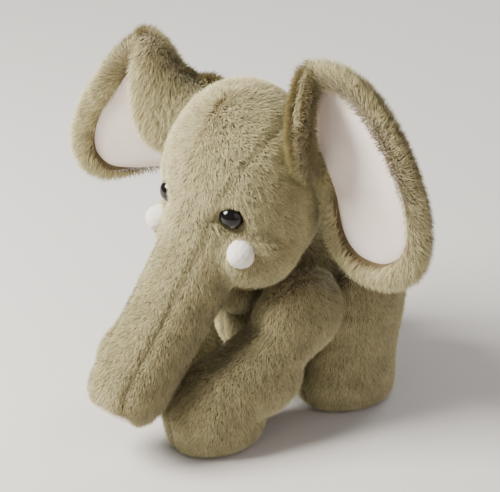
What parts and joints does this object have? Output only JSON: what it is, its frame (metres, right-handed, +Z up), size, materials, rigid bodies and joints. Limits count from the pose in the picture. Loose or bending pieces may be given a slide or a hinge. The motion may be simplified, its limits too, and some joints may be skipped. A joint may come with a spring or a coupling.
{
  "type": "stuffed elephant",
  "caption": "Plush elephant that stands on four soft legs, with a thick trunk held forward, wide lined ears, black safety eyes and small felt tusks.",
  "frame": {"origin": "on the ground under the middle of the whole elephant's box", "axes": "+Z up, the elephant's body faces -Y and its left side is +X; the head is turned 10 degrees to its left at rest"},
  "size_m": [0.2196, 0.1924, 0.1937],
  "materials": {
    "plush_fabric": "short combed pile, khaki grey-green",
    "smooth_velour": "smooth brushed velour, pinkish cream",
    "fibre_filling": "loose white polyester fibre",
    "white_felt": "felted, matt",
    "eye_plastic": "polished black",
    "washer_plastic": "moulded, unpolished"
  },
  "bodies": {
    "torso": {"torso_left_panel": "plush_fabric", "torso_right_panel": "plush_fabric", "torso_belly_panel": "plush_fabric", "torso_stuffing": "fibre_filling"},
    "neck": {"neck_stuffing": "fibre_filling"},
    "head": {"head_forehead_panel": "plush_fabric", "head_left_panel": "plush_fabric", "head_right_panel": "plush_fabric", "head_stuffing": "fibre_filling", "lower_jaw": "plush_fabric", "eye_left": "eye_plastic", "eye_right": "eye_plastic", "eye_washer_left": "washer_plastic", "eye_washer_right": "washer_plastic", "tusk_left": "white_felt", "tusk_right": "white_felt"},
    "trunk_upper": {"trunk_upper_cover": "plush_fabric", "trunk_upper_stuffing": "fibre_filling"},
    "trunk_lower": {"trunk_lower_cover": "plush_fabric", "trunk_lower_stuffing": "fibre_filling", "trunk_tip_patch": "smooth_velour"},
    "ear_left": {"ear_left_back": "plush_fabric", "ear_left_lining": "smooth_velour"},
    "ear_right": {"ear_right_back": "plush_fabric", "ear_right_lining": "smooth_velour"},
    "front_leg_left": {"front_leg_left_outer_panel": "plush_fabric", "front_leg_left_inner_panel": "plush_fabric", "front_leg_left_stuffing": "fibre_filling", "front_leg_left_sole": "smooth_velour"},
    "front_leg_right": {"front_leg_right_outer_panel": "plush_fabric", "front_leg_right_inner_panel": "plush_fabric", "front_leg_right_stuffing": "fibre_filling", "front_leg_right_sole": "smooth_velour"},
    "hind_leg_left": {"hind_leg_left_outer_panel": "plush_fabric", "hind_leg_left_inner_panel": "plush_fabric", "hind_leg_left_stuffing": "fibre_filling", "hind_leg_left_sole": "smooth_velour"},
    "hind_leg_right": {"hind_leg_right_outer_panel": "plush_fabric", "hind_leg_right_inner_panel": "plush_fabric", "hind_leg_right_stuffing": "fibre_filling", "hind_leg_right_sole": "smooth_velour"},
    "tail": {"tail": "plush_fabric"}
  },
  "joints": [
    {"name": "neck_turn", "type": "hinge", "parent": "torso", "child": "neck", "pos_m": [-0.00475, 0.02257, 0.08677], "axis": [0, 0, 1], "range_deg": [-20, 2], "stiffness_Nm_per_rad": 0.5},
    {"name": "head_nod", "type": "hinge", "parent": "neck", "child": "head", "pos_m": [-0.00475, 0.02257, 0.08677], "axis": [0.9848, 0.1736, 0], "range_deg": [-12, 1], "stiffness_Nm_per_rad": 0.5},
    {"name": "trunk_swing", "type": "hinge", "parent": "head", "child": "trunk_upper", "pos_m": [0.00355, -0.0245, 0.09697], "axis": [0.9848, 0.1736, 0], "range_deg": [-20, 0], "stiffness_Nm_per_rad": 0.15},
    {"name": "trunk_curl", "type": "hinge", "parent": "trunk_upper", "child": "trunk_lower", "pos_m": [0.00912, -0.05613, 0.0613], "axis": [0.9848, 0.1736, 0], "range_deg": [-25, 0], "stiffness_Nm_per_rad": 0.08},
    {"name": "ear_left_flap", "type": "hinge", "parent": "head", "child": "ear_left", "pos_m": [0.03152, 0.01876, 0.14418], "axis": [-0.2468, -0.2103, 0.946], "range_deg": [-25, 12], "stiffness_Nm_per_rad": 0.06},
    {"name": "ear_right_flap", "type": "hinge", "parent": "head", "child": "ear_right", "pos_m": [-0.03753, 0.00659, 0.14418], "axis": [-0.3038, 0.1132, -0.946], "range_deg": [-20, 18], "stiffness_Nm_per_rad": 0.06},
    {"name": "front_leg_left_swing", "type": "hinge", "parent": "torso", "child": "front_leg_left", "pos_m": [0.02365, 0.00733, 0.0605], "axis": [0.9415, 0, -0.3371], "range_deg": [-2, 10], "stiffness_Nm_per_rad": 0.7},
    {"name": "front_leg_right_swing", "type": "hinge", "parent": "torso", "child": "front_leg_right", "pos_m": [-0.03315, 0.00733, 0.0605], "axis": [0.9415, 0, 0.3371], "range_deg": [-2, 10], "stiffness_Nm_per_rad": 0.7},
    {"name": "hind_leg_left_swing", "type": "hinge", "parent": "torso", "child": "hind_leg_left", "pos_m": [0.02365, 0.05333, 0.0605], "axis": [0.9415, 0, -0.3371], "range_deg": [-8, 15], "stiffness_Nm_per_rad": 0.7},
    {"name": "hind_leg_right_swing", "type": "hinge", "parent": "torso", "child": "hind_leg_right", "pos_m": [-0.03315, 0.05333, 0.0605], "axis": [0.9415, 0, 0.3371], "range_deg": [-8, 15], "stiffness_Nm_per_rad": 0.7},
    {"name": "tail_lift", "type": "hinge", "parent": "torso", "child": "tail", "pos_m": [-0.00475, 0.08232, 0.0615], "axis": [1, 0, 0], "range_deg": [0, 40], "stiffness_Nm_per_rad": 0.01}
  ]
}
